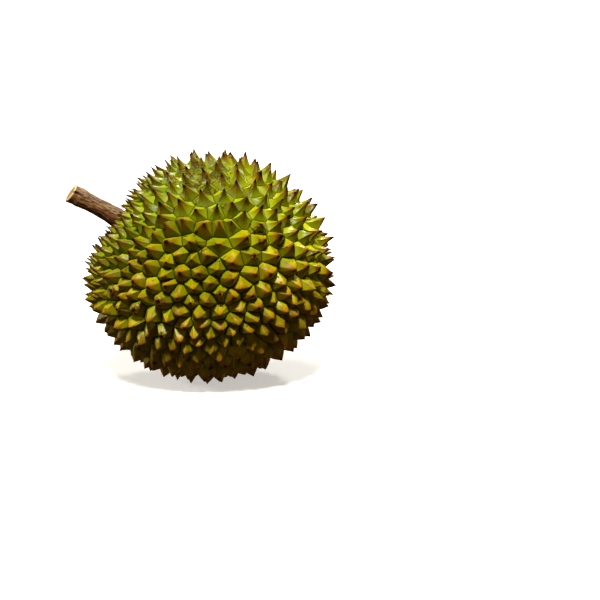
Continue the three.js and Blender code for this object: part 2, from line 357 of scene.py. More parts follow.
class HuskShape:
    """The husk between its thorns, about its own centre and in millimetres."""

    def __init__(self, settings):
        # The angle is rounded for the reason that lengths are.
        rise = radians(round(degrees(settings.stem_rise), 4))
        self.half_size = millimetres(settings.half_size)
        self.stem = np.array((-cos(rise), 0.0, sin(rise)))
        self.spacing = float(millimetres(settings.thorn_spacing))
        self.thorn_height = float(millimetres(settings.thorn_height))
        self.height_per_radius = round(settings.height_per_radius, 4)

    def near_stem(self, directions, reach):
        """1 beside the stalk, and less the further off, over about that many radians."""
        angles = np.arccos(np.clip(directions @ self.stem, -1, 1))
        return np.exp(-((angles / reach) ** 2))

    def sunniness(self, directions):
        return np.maximum(0, directions @ unit(SUNNY_SIDE))

    def fullness(self, direction):
        """From 0, where thorns are hollow-sided, to 1, where they are full and blunt."""
        share = np.clip((direction @ unit(FULL_SIDE) - FULL_FROM) / (FULL_TO - FULL_FROM), 0, 1)
        return share * share * (3 - 2 * share)

    # How far a direction looks towards the side that gets painted light.
    def painted_light_of(self, direction):
        return max(0.0, float(direction @ unit(PAINTED_LIGHT_SIDE))) ** 3

    def point(self, directions):
        """The point of the husk, between thorns, that lies in a direction from its middle."""
        around = np.arctan2(directions[..., 2], directions[..., 1])
        lobe = 1 + LOBE_SWELL * np.cos(LOBES * around) * (1 - directions[..., 0] ** 2)
        sunk = SHOULDER_DEPTH * self.near_stem(directions, SHOULDER_REACH)
        return directions * self.half_size * lobe[..., None] - self.stem * sunk[..., None]

    def room(self, directions):
        """How far apart thorns of average size stand there."""
        sun = 1 + SUNNY_SPACING * self.sunniness(directions)
        crowding = 1 - STEM_CROWDING * self.near_stem(directions, CROWDING_REACH)
        return self.spacing * sun * crowding


def collar_seeds(shape):
    """The bare cells round the stalk's foot."""
    east, north = east_and_north(shape.stem)
    aside = COLLAR_RING / np.linalg.norm(shape.point(shape.stem))
    seeds = [shape.stem]
    for i in range(COLLAR_CELLS):
        around = 2 * pi * i / COLLAR_CELLS
        shift = east * aside * cos(around) + north * aside * sin(around)
        seeds.append(unit(shape.stem + shift))
    return seeds


def throw_thorns(shape, draws):
    """Thorns stand at random, but never closer than their room allows."""
    darts = [(draws.draw(), draws.draw(), draws.vary(SPACING_SPREAD)) for _ in range(DARTS)]
    upward, around, spread = np.array(darts).T
    height = 2 * upward - 1
    around = 2 * pi * around
    ring = np.sqrt(1 - height * height)
    directions = np.stack([ring * np.cos(around), ring * np.sin(around), height], axis=1)
    points = shape.point(directions)
    rooms = shape.room(directions) * spread
    off_axis = np.linalg.norm(np.cross(points, shape.stem), axis=1)
    free = (directions @ shape.stem <= 0) | (off_axis >= FIRST_THORNS)
    placed = np.zeros(0, int)
    for i in np.flatnonzero(free):
        apart = np.linalg.norm(points[placed] - points[i], axis=1)
        if not np.any(apart < (rooms[placed] + rooms[i]) / 2):
            placed = np.append(placed, i)
    return directions[placed]


def neighbours(seeds):
    """Triangles of seeds that meet at one corner.

    Projected from the first seed, circles on the ball are circles on a plane, so the others
    are triangulated there, and their rim joins the first seed.
    """
    east, north = east_and_north(seeds[0])
    spread = 1 - seeds[1:] @ seeds[0]
    flat = [Vector(p) for p in zip(seeds[1:] @ east / spread, seeds[1:] @ north / spread)]
    faces = [tuple(i + 1 for i in face) for face in delaunay_2d_cdt(flat, [], [], 0, 1e-9)[2]]
    edges = [edge for face in faces for edge in round_pairs(face)]
    # The rim's edges belong to one triangle only.
    both_ways = set(edges)
    return faces + [(a, b, 0) for a, b in edges if (b, a) not in both_ways]


def cells_of(seeds):
    """The corners where cells meet, each seed's ring of them, and the valleys that join them."""
    faces = np.array(neighbours(seeds))
    a, b, c = (seeds[faces[:, i]] for i in range(3))
    corners = unit(np.cross(b - a, c - a))
    corners *= np.sign(np.sum(corners * a, axis=1))[:, None]
    rings = [[] for _ in seeds]
    beside = {}
    for f, face in enumerate(faces.tolist()):
        for i, seed in enumerate(face):
            rings[seed].append(f)
            beside.setdefault(frozenset((seed, face[i - 1])), []).append(f)
    for seed, ring in enumerate(rings):
        east, north = east_and_north(seeds[seed])
        ring.sort(key=lambda f: atan2(corners[f] @ north, corners[f] @ east))
    return corners, rings, list(beside.values())


def relax(seeds, first):
    """Moves each thorn towards the middle of its cell. Seeds before the first one stay."""
    corners, rings, _ = cells_of(seeds)
    moved = seeds.copy()
    for i in range(first, len(seeds)):
        moved[i] = unit(mix(seeds[i], corners[rings[i]].mean(axis=0), RELAX_STEP))
    return moved


def join_corners(shape, corners, rings, valleys):
    """Joins corners that lie too close together, so that no valley is a sliver."""
    owner = list(range(len(corners)))

    def find(f):
        while owner[f] != f:
            f = owner[f]
        return f

    points = shape.point(corners)
    for a, b in valleys:
        if np.linalg.norm(points[a] - points[b]) < SHORTEST_EDGE:
            owner[find(a)] = find(b)
    roots = np.array([find(f) for f in range(len(corners))])
    kept, number = np.unique(roots, return_inverse=True)
    middles = unit(np.array([corners[roots == root].mean(axis=0) for root in kept]))
    joined = [[int(number[f]) for f in ring] for ring in rings]
    return shape.point(middles), [[a for a, b in round_pairs(ring) if a != b] for ring in joined]


class Thorn:
    """One thorn's foot, tip and manner of growth."""

    def __init__(self, shape, direction, corners, draws):
        self.foot = shape.point(direction)
        self.radius = np.linalg.norm(corners - self.foot, axis=1).mean()
        normal = unit(direction / shape.half_size)
        to_stem = unit(shape.stem - normal * (shape.stem @ normal))
        shade = mix(SHADY_HEIGHT, 1, float(shape.sunniness(direction)))
        taller = 1 + STEM_HEIGHT * shape.near_stem(direction, CROWDING_REACH)
        width_height = shape.thorn_height + shape.height_per_radius * self.radius
        height = width_height * shade * taller * draws.vary(HEIGHT_SPREAD)
        stray = np.array([draws.vary(1) - 1 for _ in range(3)])
        lean = to_stem * STEM_LEAN * shape.near_stem(direction, LEAN_REACH)
        self.tip = self.foot + unit(normal + lean + stray * LEAN_SPREAD) * height
        self.full = float(shape.fullness(direction))
        usual = mix(USUAL_HOLLOWNESS, LEAST_HOLLOWNESS, self.full)
        beside_stem = STEM_HOLLOWNESS * shape.near_stem(direction, LEAN_REACH)
        hollow = float(np.clip(usual + beside_stem + draws.vary(HOLLOWNESS_SPREAD) - 1, 0, 1))
        # From 0, full, to 1, hollow. Most thorns are clearly one or the other.
        self.profile = hollow ** 2 * (3 - 2 * hollow)
        self.pale = shape.painted_light_of(direction)
        self.fresh = float(shape.near_stem(direction, FRESH_REACH))
        self.bend = np.zeros(3)
        self.broken = False

    def middle(self, height):
        """The thorn's middle at a share of its height. A broken one turns down into a crater."""
        if self.broken and height > BREAK_AT:
            height = BREAK_AT - (height - BREAK_AT) * BREAK_DEPTH
        return mix(self.foot, self.tip, height) + self.bend * height * (1 - height)


def grow(shape, seed):
    """The husk's thorns, their rings of corner numbers, and the corners."""
    draws = Draws(seed)
    collar = np.array(collar_seeds(shape))
    seeds = np.concatenate([collar, throw_thorns(shape, draws)])
    for _ in range(RELAX_ROUNDS):
        seeds = relax(seeds, len(collar))
    corners, rings = join_corners(shape, *cells_of(seeds))
    thorns = [
        Thorn(shape, seeds[i], corners[rings[i]], draws) for i in range(len(collar), len(seeds))
    ]
    return thorns, rings[len(collar):], corners


def waved(point, share=1.0):
    """A point moved a little, so that no face is quite flat and no ridge quite straight."""
    return point + np.array(noise.noise_vector(Vector(point / WAVE_LENGTH))) * WAVE_DEPTH * share


class Skin:
    """Points and triangles of the husk, with what the material reads at each."""

    def __init__(self, shape, corners):
        self.corners = [waved(corner) for corner in corners]
        outward = unit(corners)
        groove = mix(SHADY_GROOVE, SUNNY_GROOVE, shape.sunniness(outward))
        self.points = list(self.corners - outward * groove[:, None])
        self.marks = {name: [0.0] * len(corners) for name in ("height", "ridge", "valley")}
        self.triangles = []
        self.face_marks = {name: [] for name in COLLAR_MARKS}
        self.valleys = {}

    def put(self, point, height, ridge, valley):
        """Adds a point, at a share of a thorn's height, so far from the ridge and the valley."""
        self.points.append(point)
        for values, value in zip(self.marks.values(), (height, ridge, valley)):
            values.append(float(value))
        return len(self.points) - 1

    def valley_points(self, a, b):
        """The points along the valley from corner a towards b, which two thorns share."""
        if (b, a) in self.valleys:
            return [a] + self.valleys[b, a][:0:-1]
        span = self.points[b] - self.points[a]
        length = np.linalg.norm(span)
        self.valleys[a, b] = [a] + [
            self.put(self.points[a] + span * v, 0, length * min(v, 1 - v), 0) for v in FINE[1:]
        ]
        return self.valleys[a, b]

    def valley_pairs(self):
        """The pairs of points that lie next to each other along the valleys."""
        pairs = set()
        for (_, b), points in self.valleys.items():
            line = points + [b]
            pairs.update(tuple(sorted(pair)) for pair in zip(line, line[1:]))
        return pairs

    def triangle(self, a, b, c, marks):
        self.triangles.append((a, b, c))
        for name, values in self.face_marks.items():
            values.append(marks[name])


def strip(skin, lower, upper, marks):
    """Fills the band between two rows of one face. A row is its points and their places."""
    (low, low_places), (high, high_places) = lower, upper
    i = j = 0
    while i < len(low) - 1 or j < len(high) - 1:
        if low_places[i + 1] <= high_places[j + 1]:
            skin.triangle(low[i], low[i + 1], high[j], marks)
            i += 1
        else:
            skin.triangle(low[i], high[j + 1], high[j], marks)
            j += 1


def face_rows(skin, thorn, a, b):
    """A face's rows of points, above its valley from corner a to b, without its second ridge."""
    start, end = (skin.corners[n] - thorn.foot for n in (a, b))
    chord = np.linalg.norm(end - start)
    rows = []
    for k in range(1, len(ROW_HEIGHTS)):
        height = ROW_HEIGHTS[k]
        width = mix(FULL_WIDTHS[k], HOLLOW_WIDTHS[k], thorn.profile)
        hollow = mix(FULL_FACES[k], HOLLOW_FACES[k], thorn.profile)
        axis = thorn.middle(height)
        rise = np.linalg.norm(thorn.tip - thorn.foot) * height
        row = []
        for v in ROW_PLACES[k]:
            drawn_in = 1 - hollow * 4 * v * (1 - v)
            outward = mix(start, end, v)
            up = hypot(rise, np.linalg.norm(outward) * (1 - width))
            ridge = chord * width * min(v, 1 - v)
            point = waved(axis + outward * width * drawn_in, height * (1 - height) * 2)
            row.append(skin.put(point, height, ridge, up))
        rows.append(row)
    return rows


def painted_shade_of(skin, thorn, a, b, draws):
    """From 0 to 1: how far the face above a valley, from corner a to b, looks from the light. This
    sets the face's painted shade.
    """
    outward = unit(skin.corners[a] + skin.corners[b] - 2 * thorn.foot)
    chance = PAINTED_SHADE_SPREAD * (draws.vary(1) - 1)
    return float(np.clip(0.5 - PAINTED_SHADE_BIAS * (outward @ LIT_SIDE) + chance, 0, 1))


def add_thorn(skin, thorn, ring, draws):
    """A thorn's faces, each from its valley up to the point, with crisp ridges between them."""
    aside = unit(np.array([draws.vary(1) - 1 for _ in range(3)]))
    thorn.bend = aside * mix(FULL_BEND, HOLLOW_BEND, thorn.profile)
    thorn.broken = draws.draw() < BROKEN_SHARE
    from_rubbed = np.linalg.norm(unit(thorn.foot) - unit(RUBBED_AT))
    marks = {
        "tone": draws.draw(), "full": thorn.full, "scar": float(thorn.broken),
        "rubbed": exp(-((from_rubbed / RUBBED_REACH) ** 2)),
        "pale": thorn.pale, "fresh": thorn.fresh,
    }
    tip = skin.put(thorn.middle(1.0), 1, 0, thorn.radius)
    faces = []
    for a, b in round_pairs(ring):
        faces.append([skin.valley_points(a, b)] + face_rows(skin, thorn, a, b))
    # After the next ridge, at 1, comes a place that no point reaches.
    places = [row_places + (1, 2) for row_places in ROW_PLACES]
    for (a, b), (rows, following) in zip(round_pairs(ring), round_pairs(faces)):
        marks["lee"] = painted_shade_of(skin, thorn, a, b, draws)
        full = [row + closing[:1] for row, closing in zip(rows, following)]
        rows_placed = list(zip(full, places))
        for lower, upper in zip(rows_placed, rows_placed[1:]):
            strip(skin, lower, upper, marks)
        skin.triangle(*full[-1], tip, marks)


def collar_loop(skin, rings):
    """The valley points that have a thorn on one side only, in order round the stalk."""
    edges = {edge for ring in rings for edge in round_pairs(ring)}
    following = {b: a for a, b in edges if (b, a) not in edges}
    corner = next(iter(following))
    loop = []
    for _ in following:
        loop += skin.valley_points(corner, following[corner])
        corner = following[corner]
    return loop


def add_collar(skin, shape, loop, socket_radius):
    """The bare collar, drawn up round the stalk's foot, and the socket inside it."""
    origin = shape.point(shape.stem)
    offsets = np.array([skin.points[n] for n in loop]) - origin
    heights = offsets @ shape.stem
    outward = offsets - heights[:, None] * shape.stem
    radii = np.linalg.norm(outward, axis=1)
    outward /= radii[:, None]
    lip = socket_radius + LIP_WIDTH
    rings = [(mix(radii, lip, share), mix(heights, LIP_HEIGHT, share)) for share in COLLAR_SHARES]
    rings += [(socket_radius, RIM_HEIGHT), (socket_radius, -SOCKET_DEPTH)]
    previous = loop
    for radius, height in rings:
        points = outward * np.reshape(radius, (-1, 1)) + shape.stem * np.reshape(height, (-1, 1))
        ring = [skin.put(origin + point, *COLLAR_PLACE) for point in points]
        for (a, b), (c, d) in zip(round_pairs(previous), round_pairs(ring)):
            skin.triangle(a, b, d, COLLAR_MARKS)
            skin.triangle(a, d, c, COLLAR_MARKS)
        previous = ring
    middle = skin.put(origin - shape.stem * SOCKET_DEPTH, *COLLAR_PLACE)
    for a, b in round_pairs(previous):
        skin.triangle(a, b, middle, COLLAR_MARKS)


def scene_object(name, data):
    made = bpy.data.objects.new(name, data)
    bpy.context.scene.collection.objects.link(made)
    return made


def mesh_object(name, points, triangles, material):
    """A mesh from points in millimetres."""
    mesh = bpy.data.meshes.new(name)
    mesh.from_pydata((np.array(points) * MM).tolist(), [], triangles)
    mesh.polygons.foreach_set("use_smooth", [True] * len(triangles))
    mesh.materials.append(material)
    mesh.update()
    return scene_object(name, mesh)


def mark(mesh, name, domain, values, kind="FLOAT"):
    """Stores values that the material reads, or that make edges crisp."""
    slot = "vector" if kind == "FLOAT_VECTOR" else "value"
    mesh.attributes.new(name, kind, domain).data.foreach_set(slot, np.ravel(values))


# What the materials are made of. Each word stands for a node, with the inputs that are given to
# it in order, the output that is taken from it, and its settings.
NODES = {
    "object place": ("ShaderNodeTexCoord", (), "Object", {}),
    "mark": ("ShaderNodeAttribute", (), "Fac", {}),
    "x": ("ShaderNodeSeparateXYZ", (0,), "X", {}),
    "z": ("ShaderNodeSeparateXYZ", (0,), "Z", {}),
    "red": ("ShaderNodeSeparateColor", (0,), 0, {}),
    "sum": ("ShaderNodeMath", (0, 1), 0, {"operation": "ADD"}),
    "product": ("ShaderNodeMath", (0, 1), 0, {"operation": "MULTIPLY"}),
    "greatest": ("ShaderNodeMath", (0, 1), 0, {"operation": "MAXIMUM"}),
    # The first value times the second, plus the third.
    "scaled": ("ShaderNodeMath", (0, 1, 2), 0, {"operation": "MULTIPLY_ADD"}),
    "absolute": ("ShaderNodeMath", (0,), 0, {"operation": "ABSOLUTE"}),
    "sine": ("ShaderNodeMath", (0,), 0, {"operation": "SINE"}),
    "below": ("ShaderNodeMath", (0, 1), 0, {"operation": "LESS_THAN"}),
    "stretched": ("ShaderNodeVectorMath", (0, 1), 0, {"operation": "MULTIPLY"}),
    "length": ("ShaderNodeVectorMath", (0,), "Value", {"operation": "LENGTH"}),
    # From 0 at the second value to 1 at the third, smoothly. The third may be below the second.
    "rise": ("ShaderNodeMapRange", (0, 1, 2), 0, {"interpolation_type": "SMOOTHSTEP"}),
    # The second value's colour turned to the third's by the share that comes first.
    "blend": ("ShaderNodeMix", (0, 6, 7), 2, {"data_type": "RGBA"}),
    "ramp": ("ShaderNodeValToRGB", (0,), 0, {}),
    "tinted": ("ShaderNodeHueSaturation", ("Hue", "Value", "Color"), 0, {}),
    "noise": ("ShaderNodeTexNoise", ("Vector", "Scale", "Detail", "Distortion"), "Fac", {}),
    "cells": ("ShaderNodeTexVoronoi", ("Vector", "Scale"), "Distance", {}),
    "bump": ("ShaderNodeBump", ("Height", "Distance"), "Normal", {}),
}


def add_node(tree, word, *values, output=None, stops=(), **settings):
    """Adds a node of NODES and gives its output. A value may be another node's output to link."""
    kind, inputs, usual_output, usual_settings = NODES[word]
    node = tree.nodes.new(kind)
    for name, value in {**usual_settings, **settings}.items():
        setattr(node, name, value)
    if stops:
        ramp = node.color_ramp.elements
        ramp.remove(ramp[1])
        ramp[0].position, ramp[0].color = stops[0]
        for place, colour in stops[1:]:
            ramp.new(place).color = colour
    for name, value in zip(inputs, values):
        if isinstance(value, bpy.types.NodeSocket):
            tree.links.new(value, node.inputs[name])
        else:
            node.inputs[name].default_value = value
    return node.outputs[output or usual_output]


class Finish:
    """A material under way: its tree, its shader and the few steps that finishes share."""

    def __init__(self, name, roughness, ior, marks=()):
        self.material = bpy.data.materials.new(name)
        self.material.use_nodes = True
        self.tree = self.material.node_tree
        self.shader = self.tree.nodes["Principled BSDF"]
        self.shader.inputs["Roughness"].default_value = roughness
        self.shader.inputs["IOR"].default_value = ior
        self.place = self.add("stretched", self.add("object place"), (1 / MM, 1 / MM, 1 / MM))
        self.marks = {mark: self.add("mark", attribute_name=mark) for mark in marks}

    def add(self, word, *values, **settings):
        return add_node(self.tree, word, *values, **settings)

    def link(self, socket, name):
        self.tree.links.new(socket, self.shader.inputs[name])

    def product(self, *values):
        return reduce(lambda a, b: self.add("product", a, b), values)

    def greatest(self, *values):
        return reduce(lambda a, b: self.add("greatest", a, b), values)

    def layered(self, colour, layers):
        """A colour with others laid over it, each by its share and its strength."""
        for share, strength, layer in layers:
            colour = self.add("blend", self.product(share, strength), colour, layer)
        return colour

    def specks(self, apart_mm, radius_mm, share):
        """Round specks. Only that share of the places that could have one has it."""
        distance = self.add("cells", self.place, 1 / apart_mm)
        radius = radius_mm / apart_mm
        spot = self.add("rise", distance, radius * 1.3, radius * 0.7)
        chance = self.add("red", distance.node.outputs["Color"])
        return self.product(spot, self.add("below", chance, share))


def grown_colour(skin, settings, grain, blotch):
    """The husk's colour, from a thorn's green foot to its dark point, with painted light and shade.

    Each thorn has its own tone. Each face gets painted shade, darker and browner as it looks away
    from the light, and one side of the husk gets painted light. The side where thorns are full is
    the shaded one, with smaller points and more ochre.
    """
    height, tone, lee = (skin.marks[name] for name in ("height", "tone", "lee"))
    shade = skin.add("rise", skin.marks["full"], 0.35, 1.0)
    own_place = skin.add("scaled", grain, 0.16, skin.add("scaled", tone, 0.3, -0.23))
    place = skin.add("sum", height, own_place)
    shady = skin.add("ramp", place, stops=(
        (0.0, settings.shady_foot), (0.55, settings.shady_side), (0.88, settings.ochre),
        (1.0, settings.point),
    ))
    sunny = skin.add("ramp", place, stops=(
        (0.0, settings.sunny_foot), (0.46, settings.sunny_side), (0.63, settings.ochre),
        (0.84, settings.point),
    ))
    # Painted light: one side of the husk is made paler.
    painted_paleness = skin.add("scaled", skin.marks["pale"], 0.36, 0.85)
    # Painted shade: a face is made darker the further it looks away from the light.
    lit = skin.add("scaled", lee, -1.0, 1.52)
    brightness = skin.product(skin.add("scaled", tone, 0.3, painted_paleness), lit)
    fresh = skin.add("scaled", skin.marks["fresh"], 0.025, 0.463)
    hue = skin.add("scaled", blotch, 0.07, fresh)
    colour = skin.add("tinted", hue, brightness, skin.add("blend", shade, sunny, shady))
    # Painted shade as well: faces that look away from the light turn browner, on top of the ochre
    # blotches.
    blush_and_painted_shade = skin.greatest(skin.add("rise", blotch, 0.48, 0.68), skin.add("rise", lee, 0.45, 1.0))
    upper = skin.product(skin.add("rise", height, 0.08, 0.5), skin.add("rise", place, 0.9, 0.6))
    flush_and_painted_shade = skin.product(blush_and_painted_shade, upper, skin.add("scaled", shade, 0.35, 0.3))
    colour = skin.add("blend", flush_and_painted_shade, colour, settings.ochre)
    # Painted shade in the valleys between the thorns, a little darker on the shaded side.
    deep = skin.add("rise", skin.marks["valley"], 0.85, 0.15)
    painted_valley_shade = skin.product(deep, skin.add("scaled", shade, 0.15, 0.7))
    return skin.add("blend", painted_valley_shade, colour, settings.valley)


def ridge_highlights(skin):
    """From 0 to 1: where a painted highlight lies along a ridge, between a thorn's foot and its
    point.
    """
    height = skin.marks["height"]
    along = skin.product(skin.add("rise", height, 0.1, 0.3), skin.add("rise", height, 0.9, 0.6))
    return skin.product(skin.add("rise", skin.marks["ridge"], 0.5, 0.05), along)


def dry_patches(skin, blotch):
    """From 0 to 1: where the skin is scuffed, scabbed, pricked or under dry fibres."""
    height = skin.marks["height"]
    scuffs = skin.add("rise", skin.add("noise", skin.place, 1 / SCUFF_SIZE, 7.0, 1.5), 0.64, 0.69)
    crust = skin.add("rise", skin.add("noise", skin.place, 1 / CRUST_SIZE, 5.0), 0.44, 0.54)
    scabs = skin.product(skin.marks["scar"], crust, skin.add("rise", height, 0.4, 0.6))
    # Where the noise crosses its middle it draws long thin lines, which run along X.
    along = skin.add("stretched", skin.place, STRAND_STRETCH)
    strand = skin.add("noise", along, 1 / STRAND_SIZE, 3.0, 0.6)
    line = skin.add("rise", skin.add("absolute", skin.add("sum", strand, -0.5)), 0.06, 0.025)
    rubbed = skin.add("rise", skin.marks["rubbed"], 0.25, 0.5)
    tangle = skin.product(rubbed, skin.add("rise", blotch, 0.4, 0.5))
    fibres = skin.product(line, tangle, skin.add("rise", height, 0.6, 0.35))
    return skin.greatest(scuffs, scabs, skin.specks(*PRICKS, 0.4), fibres)


def husk_finish(settings):
    """Living durian husk: a waxy skin that shines softly, with painted light and shade in its
    colour.

    Each thorn goes from green at its foot through olive and ochre to a dry dark point, with
    painted highlights along its ridges. Corky pores, brown scuffs and fibres break up the green.
    Where the skin is dry it has lost its wax, and its shine.
    """
    skin = Finish("living_durian_husk", 0.5, 1.4, HUSK_MARKS)
    grain = skin.add("noise", skin.place, 1 / GRAIN_SIZE, 4.0)
    blotch = skin.add("noise", skin.place, 1 / BLOTCH_SIZE, 3.0)
    height = skin.marks["height"]
    pores = skin.specks(*PORES, 0.5)
    dry = dry_patches(skin, blotch)
    craters = skin.product(skin.marks["scar"], skin.add("rise", height, 0.72, 0.86))
    holes = skin.greatest(skin.specks(*BITES, 0.4), craters)
    layers = (
        # The ridges' colour along the ridges is a painted highlight; on the pores it is their own
        # colour.
        (ridge_highlights(skin), 0.12, settings.ridge), (pores, 0.55, settings.ridge),
        (dry, 0.85, settings.scab), (holes, 0.9, settings.point),
    )
    colour = skin.layered(grown_colour(skin, settings, grain, blotch), layers)
    skin.link(colour, "Base Color")
    matt = skin.greatest(dry, skin.add("rise", height, 0.6, 0.85))
    skin.link(skin.add("scaled", matt, 0.45, skin.add("scaled", grain, 0.2, 0.25)), "Roughness")
    skin.link(skin.add("scaled", matt, -0.28, 0.38), "Specular IOR Level")
    bumps = skin.add("sum", grain, skin.add("scaled", pores, 0.6, skin.product(dry, 0.5)))
    skin.link(skin.add("bump", bumps, SKIN_RELIEF * MM), "Normal")
    return skin.material


def crisp_edges(mesh, pairs, worn):
    """Edges that aren't shaded as rounded: the valleys, the socket's rim and the worn points."""
    crisp = []
    for edge in mesh.edges:
        a, b = sorted(edge.vertices)
        crisp.append((a, b) in pairs or bool(worn[a] and worn[b]))
    mark(mesh, "sharp_edge", "EDGE", crisp, "BOOLEAN")


def make_husk(settings):
    """The husk's mesh, with its highest corner where the solid's is."""
    # Waves are drawn from this seed. A seed of 0 would stand for the clock.
    noise.seed_set(settings.seed + 1)
    shape = HuskShape(settings)
    thorns, rings, corners = grow(shape, settings.seed)
    centre = np.array(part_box("husk")[1]) / MM - np.max([thorn.tip for thorn in thorns], axis=0)
    skin = Skin(shape, corners)
    draws = Draws(settings.seed + 1)
    for thorn, ring in zip(thorns, rings):
        add_thorn(skin, thorn, ring, draws)
    socket_radius = float(millimetres(bpy.context.scene.durian_stalk.foot_radius)) + SOCKET_GAP
    add_collar(skin, shape, collar_loop(skin, rings), socket_radius)
    points = np.array(skin.points) + centre
    # The lowest thorns are worn level where the fruit lies on them.
    points[:, 2] = np.maximum(points[:, 2], 0)
    piece = mesh_object("durian_husk", points, skin.triangles, husk_finish(settings))
    for name, values in skin.marks.items():
        mark(piece.data, name, "POINT", values)
    for name, values in skin.face_marks.items():
        mark(piece.data, name, "FACE", values)
    crisp_edges(piece.data, skin.valley_pairs(), points[:, 2] == 0)
    # The stalk's foot, for the stalk to be set on.
    piece["stem_foot"] = (shape.point(shape.stem) + centre).tolist()
    piece["stem_direction"] = shape.stem.tolist()
    return piece


class StalkShape:
    """The stalk along +Z, in millimetres from where it leaves the husk, with +X uppermost."""

    def __init__(self, settings):
        radii = (settings.foot_radius, settings.waist_radius, settings.end_radius)
        sizes = millimetres((settings.length, *radii)).tolist()
        self.length, self.foot, self.waist, self.end = sizes

    def radius(self, height):
        """With the swollen foot, the knuckle near the end, and the flare and bevel at the cut."""
        along = np.clip(height / self.length, 0, 1)
        foot = (self.foot - self.waist) * (1 - along) ** 3
        end = (self.end - self.waist) * along ** 4
        knuckle = KNUCKLE_SWELL * exp(-(((height - KNUCKLE_HEIGHT) / KNUCKLE_REACH) ** 2))
        bevel = CUT_BEVEL * max(0, (height - self.length + CUT_BEVEL) / CUT_BEVEL) ** 2
        return self.waist + foot + end + knuckle - bevel

    def bent(self, x, y, z):
        """A point of the straight stalk, once it sags and its end is cut aslant."""
        along = max(0, z / self.length)
        slant = (CUT_SLOPES[0] * x + CUT_SLOPES[1] * y) * along ** 3
        return np.array((x - STALK_SAG * along ** 2, y, z + slant))


def crack_depth(around, height, radius):
    """From 0 to 1: how deep the bark is split there, along the stalk."""
    place = Vector((cos(around) * radius, sin(around) * radius, height / CRACK_STRETCH))
    split = noise.noise(place / CRACK_SPACING)
    fray = noise.noise(place / CRACK_SPACING * FRAY_FINENESS + Vector(FRAY_SHIFT))
    return max(0.0, 1 - abs(split + FRAY_SHARE * fray) / CRACK_WIDTH)


def torn_fold(shape, around, height, radius):
    """From 0 to 1: how deep the torn fold is there, and how far the flap above it stands off."""
    from_end = shape.length - height
    fade = float(np.clip(2 - 2 * from_end / FOLD_LENGTH, 0, 1))
    drift = FOLD_DRIFT * sin(height / FOLD_DRIFT_LENGTH)
    aside = radius * remainder(around - FOLD_TURN, 2 * pi) + drift
    slit = exp(-((aside / FOLD_REACH) ** 2))
    above = max(0.0, aside) / FLAP_WIDTH
    flap = min(1.0, FLAP_STEEPNESS * above) * exp(-above * above)
    return slit * fade, flap * fade


def scar_depth(around, height, radius):
    """From 0 to 1: how deep the twig's scar is there."""
    aside = radius * remainder(around - SCAR_TURN, 2 * pi)
    apart = hypot(aside, height - SCAR_HEIGHT)
    return exp(-((apart / SCAR_RADIUS) ** 4))


def bark_point(shape, around, height):
    """A point of the bark, its place in the grain, how cracked it is, and 0 as it isn't cut."""
    radius = shape.radius(height)
    crack = crack_depth(around, height, radius)
    fold, flap = torn_fold(shape, around, height, radius)
    scar = scar_depth(around, height, radius)
    x, y = cos(around), sin(around)
    place = Vector((x, y, height / LUMP_LENGTH))
    radius += LUMP_DEPTH * (noise.noise(place * LUMPS_ROUND) - 0.5) + FLAP_HEIGHT * flap
    radius -= CRACK_DEPTH * crack + FOLD_DEPTH * fold + SCAR_DEPTH * scar
    point = shape.bent(radius * x, radius * y, height)
    grain = (shape.waist * x, shape.waist * y, height)
    return point, grain, max(crack, fold, SCAR_DARKNESS * scar), 0.0


def cut_point(shape, around, share):
    """The same for a point of the cut end, a share of the way in from its rim."""
    radius = shape.radius(shape.length) * (1 - share)
    x, y = radius * cos(around), radius * sin(around)
    rough = noise.noise(Vector((x, y, 3)) / CUT_GRAIN) * 0.5 - 0.5
    pith = -PITH_DEPTH * exp(-((radius / PITH_RADIUS) ** 2))
    sunk = min(share * CUT_EDGE, 1) * (CUT_ROUGHNESS * rough + pith)
    return shape.bent(x, y, shape.length + sunk), (x, y, shape.length), 0.0, 1.0


def stalk_points(shape):
    """Rows of points from the root up to the cut and in over it, then the middle of either end."""
    turns = [2 * pi * i / STALK_SIDES for i in range(STALK_SIDES)]
    heights = np.linspace(SOCKET_GAP - SOCKET_DEPTH, shape.length, STALK_ROWS).tolist()
    rows = [bark_point(shape, around, height) for height in heights for around in turns]
    rows += [cut_point(shape, around, share) for share in CUT_SHARES for around in turns]
    rows.append((shape.bent(0, 0, shape.length - PITH_BOTTOM), (0, 0, shape.length), 0.0, 1.0))
    rows.append((shape.bent(0, 0, heights[0]), (0, 0, 0), 0.0, 0.0))
    return zip(*rows)


def stalk_faces():
    last = (STALK_ROWS + len(CUT_SHARES) - 1) * STALK_SIDES
    top = last + STALK_SIDES
    faces = []
    for i, k in round_pairs(range(STALK_SIDES)):
        for low in range(0, last, STALK_SIDES):
            high = low + STALK_SIDES
            faces.append((low + i, low + k, high + k, high + i))
        faces += [(last + i, last + k, top), (k, i, top + 1)]
    return faces


def make_stalk(settings):
    husk = bpy.data.objects.get("durian_husk")
    if husk is None:
        raise RuntimeError("Make the husk first: the stalk is set on it")
    points, grain, cracks, cuts = stalk_points(StalkShape(settings))
    turn = Vector((0, 0, 1)).rotation_difference(Vector(husk["stem_direction"])).to_matrix()
    placed = np.array(points) @ np.array(turn).T + np.array(husk["stem_foot"])
    piece = mesh_object("durian_stalk", placed, stalk_faces(), stalk_finish(settings))
    mark(piece.data, "grain", "POINT", grain, "FLOAT_VECTOR")
    mark(piece.data, "crack", "POINT", cracks)
    mark(piece.data, "cut", "POINT", cuts)
    return piece


